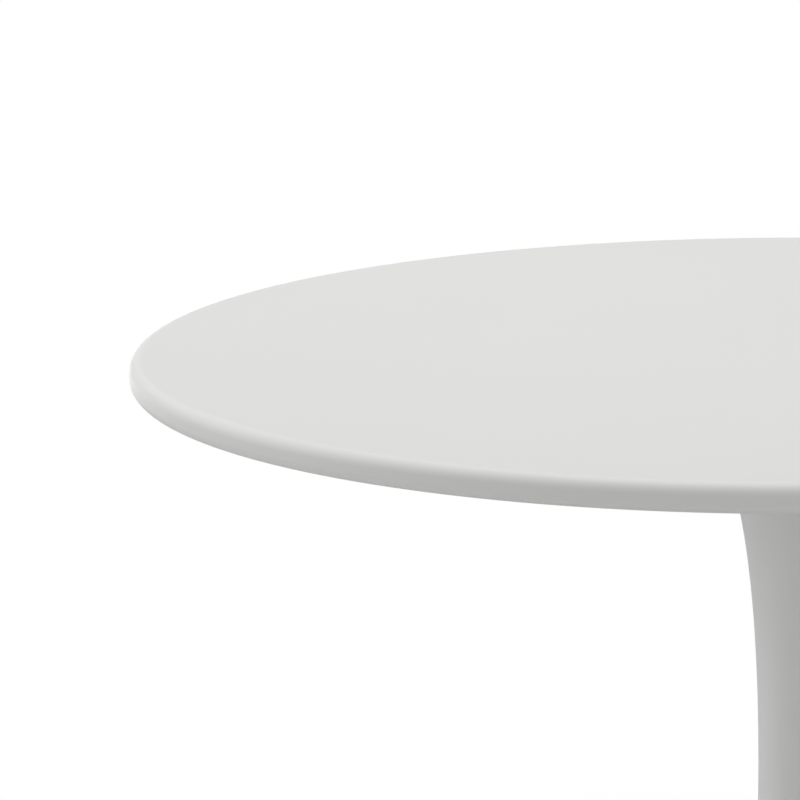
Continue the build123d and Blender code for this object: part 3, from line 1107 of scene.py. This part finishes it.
def glide_pad(number, place):
    """Round pad with a socket that clips over the stud's button."""
    node = f"glide_pad_{number}"
    low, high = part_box(node)
    radius = (high.x - low.x) / 2
    socket = BUTTON_RADIUS + BUTTON_PLAY
    mouth = STUD_NECK_RADIUS + BUTTON_PLAY
    socket_top = PAD_FLOOR + BUTTON_HEIGHT + 2 * BUTTON_PLAY
    pad = turned(
        [
            (0, low.z),
            (radius, low.z),
            (radius, high.z),
            (mouth, high.z),
            (mouth, socket_top),
            (socket, socket_top),
            (socket, PAD_FLOOR),
            (0, PAD_FLOOR),
        ]
    )
    round_ring(pad, (radius, low.z), PAD_ROUNDING, 5)
    round_ring(pad, (radius, high.z), PAD_ROUNDING, 5)
    round_ring(pad, (mouth, high.z), MOUTH_ROUNDING, 2)
    piece(f"nylon_pad_{number}", repeated(pad, [place]), node, [nylon])


powder = powder_coat()
zinc = zinc_plate()
nylon = moulded_nylon()

tabletop()
inserts()
plate()
hub()
washer("plain_washers", "mounting_washers", SCREW_WASHER, screw_places)
washer(
    "split_washers",
    "mounting_lock_washers",
    SCREW_LOCK_WASHER,
    screw_places,
    LOCK_WASHER_SLIT,
)
screws()
pedestal()
ballast()
washer("bolt_plain_washers", "ballast_washers", BOLT_WASHER, bolt_places)
washer(
    "bolt_split_washers",
    "ballast_lock_washers",
    BOLT_LOCK_WASHER,
    bolt_places,
    LOCK_WASHER_SLIT,
)
bolts()
washer("rod_plain_washer", "rod_washer", ROD_WASHER, on_axis)
washer("rod_split_washer", "rod_lock_washer", ROD_LOCK_WASHER, on_axis, LOCK_WASHER_SLIT)
rod_nut()
tie_rod()
for number, place in enumerate(glide_places, start=1):
    glide_stud(number, place)
    glide_pad(number, place)


# ---- Studio ----

# Floor's width, and how far from the table's axis it starts to fade and is gone
FLOOR_SIZE = 4.0
FADE_START = 0.75
FADE_END = 1.6

# Brightness of the surroundings: all round, what is added in front, the height (the sine of
# the angle above the horizon) from which that addition weakens, and the white backdrop
WORLD_EVEN = 0.261
WORLD_FRONT = 0.65
WORLD_LOW = 0.4
BACKDROP = 1.0

# Name, place, aim, width, height, brightness
SOFTBOXES = (
    ("back field", (0, 6.5, 6.0), (0, 6.5, 0), 12.0, 9.0, 0.269),
    ("left side", (-3.6, 0.6, 1.3), (0, 0, 0.6), 2.6, 2.2, 2.286),
    ("overhead", (0, 0.3, 4.2), (0, 0, 0.7), 2.5, 2.5, 4.0),
    ("low strip behind", (-1.4, 2.8, 0.35), (0, 0, 0.45), 2.6, 0.7, 3.5),
)


def floor():
    """Level floor, which isn't part of the table."""
    bm = bmesh.new()
    bmesh.ops.create_grid(bm, x_segments=4, y_segments=4, size=FLOOR_SIZE / 2)
    mesh = bpy.data.meshes.new("studio_floor")
    bm.to_mesh(mesh)
    bm.free()
    mesh.materials.append(studio_floor())
    made = bpy.data.objects.new("studio_floor", mesh)
    bpy.context.scene.collection.objects.link(made)


def softbox(name, place, aim, width, height, brightness):
    """Rectangular soft light of a brightness, hidden from the camera."""
    data = bpy.data.lights.new(name, "AREA")
    data.shape = "RECTANGLE"
    data.size = width
    data.size_y = height
    data.energy = brightness * pi * width * height
    lamp = bpy.data.objects.new(name, data)
    bpy.context.scene.collection.objects.link(lamp)
    direction = Vector(aim) - Vector(place)
    lamp.rotation_euler = direction.to_track_quat("-Z", "Y").to_euler()
    lamp.location = place
    lamp.visible_camera = False


def studio():
    """Soft surroundings, brighter in front, with softboxes overhead, left and behind."""
    world = bpy.data.worlds.new("studio")
    world.use_nodes = True
    air = Graph(world.node_tree)
    direction = air.node("TexCoord", output="Generated")
    y, z = (air.node("SeparateXYZ", None, {"Vector": direction}, name) for name in "YZ")
    light = WORLD_EVEN + WORLD_FRONT * (0 - y).at_least(0) * (1 - z.at_least(WORLD_LOW))
    seen = air.node("LightPath", output="Is Camera Ray")
    strength = light * (1 - seen) + BACKDROP * seen
    air.feed(world.node_tree.nodes["Background"].inputs["Color"], grey(1.0))
    air.feed(world.node_tree.nodes["Background"].inputs["Strength"], strength)
    bpy.context.scene.world = world
    for name, place, aim, width, height, brightness in SOFTBOXES:
        softbox(name, place, aim, width, height, brightness)
    view = bpy.context.scene.view_settings
    view.view_transform = "Standard"
    view.look = "None"


def camera():
    """Camera before the table, a little above the top and turned to its left half."""
    distance = 4.5
    elevation = radians(10.626)
    pan = radians(3.853)
    tilt = radians(-0.487)
    roll = radians(-0.741)
    data = bpy.data.cameras.new("camera")
    data.sensor_width = 36.0
    data.lens = 268.97
    data.clip_start = 0.1
    data.clip_end = 100.0
    eye = bpy.data.objects.new("camera", data)
    bpy.context.scene.collection.objects.link(eye)
    turn = Matrix.Rotation(pan, 4, "Z")
    dip = Matrix.Rotation(pi / 2 - elevation + tilt, 4, "X")
    lean = Matrix.Rotation(roll, 4, "Z")
    place = Vector((0, -distance * cos(elevation), table_height + distance * sin(elevation)))
    eye.matrix_world = Matrix.Translation(place) @ turn @ dip @ lean
    bpy.context.scene.camera = eye


floor()
studio()
camera()
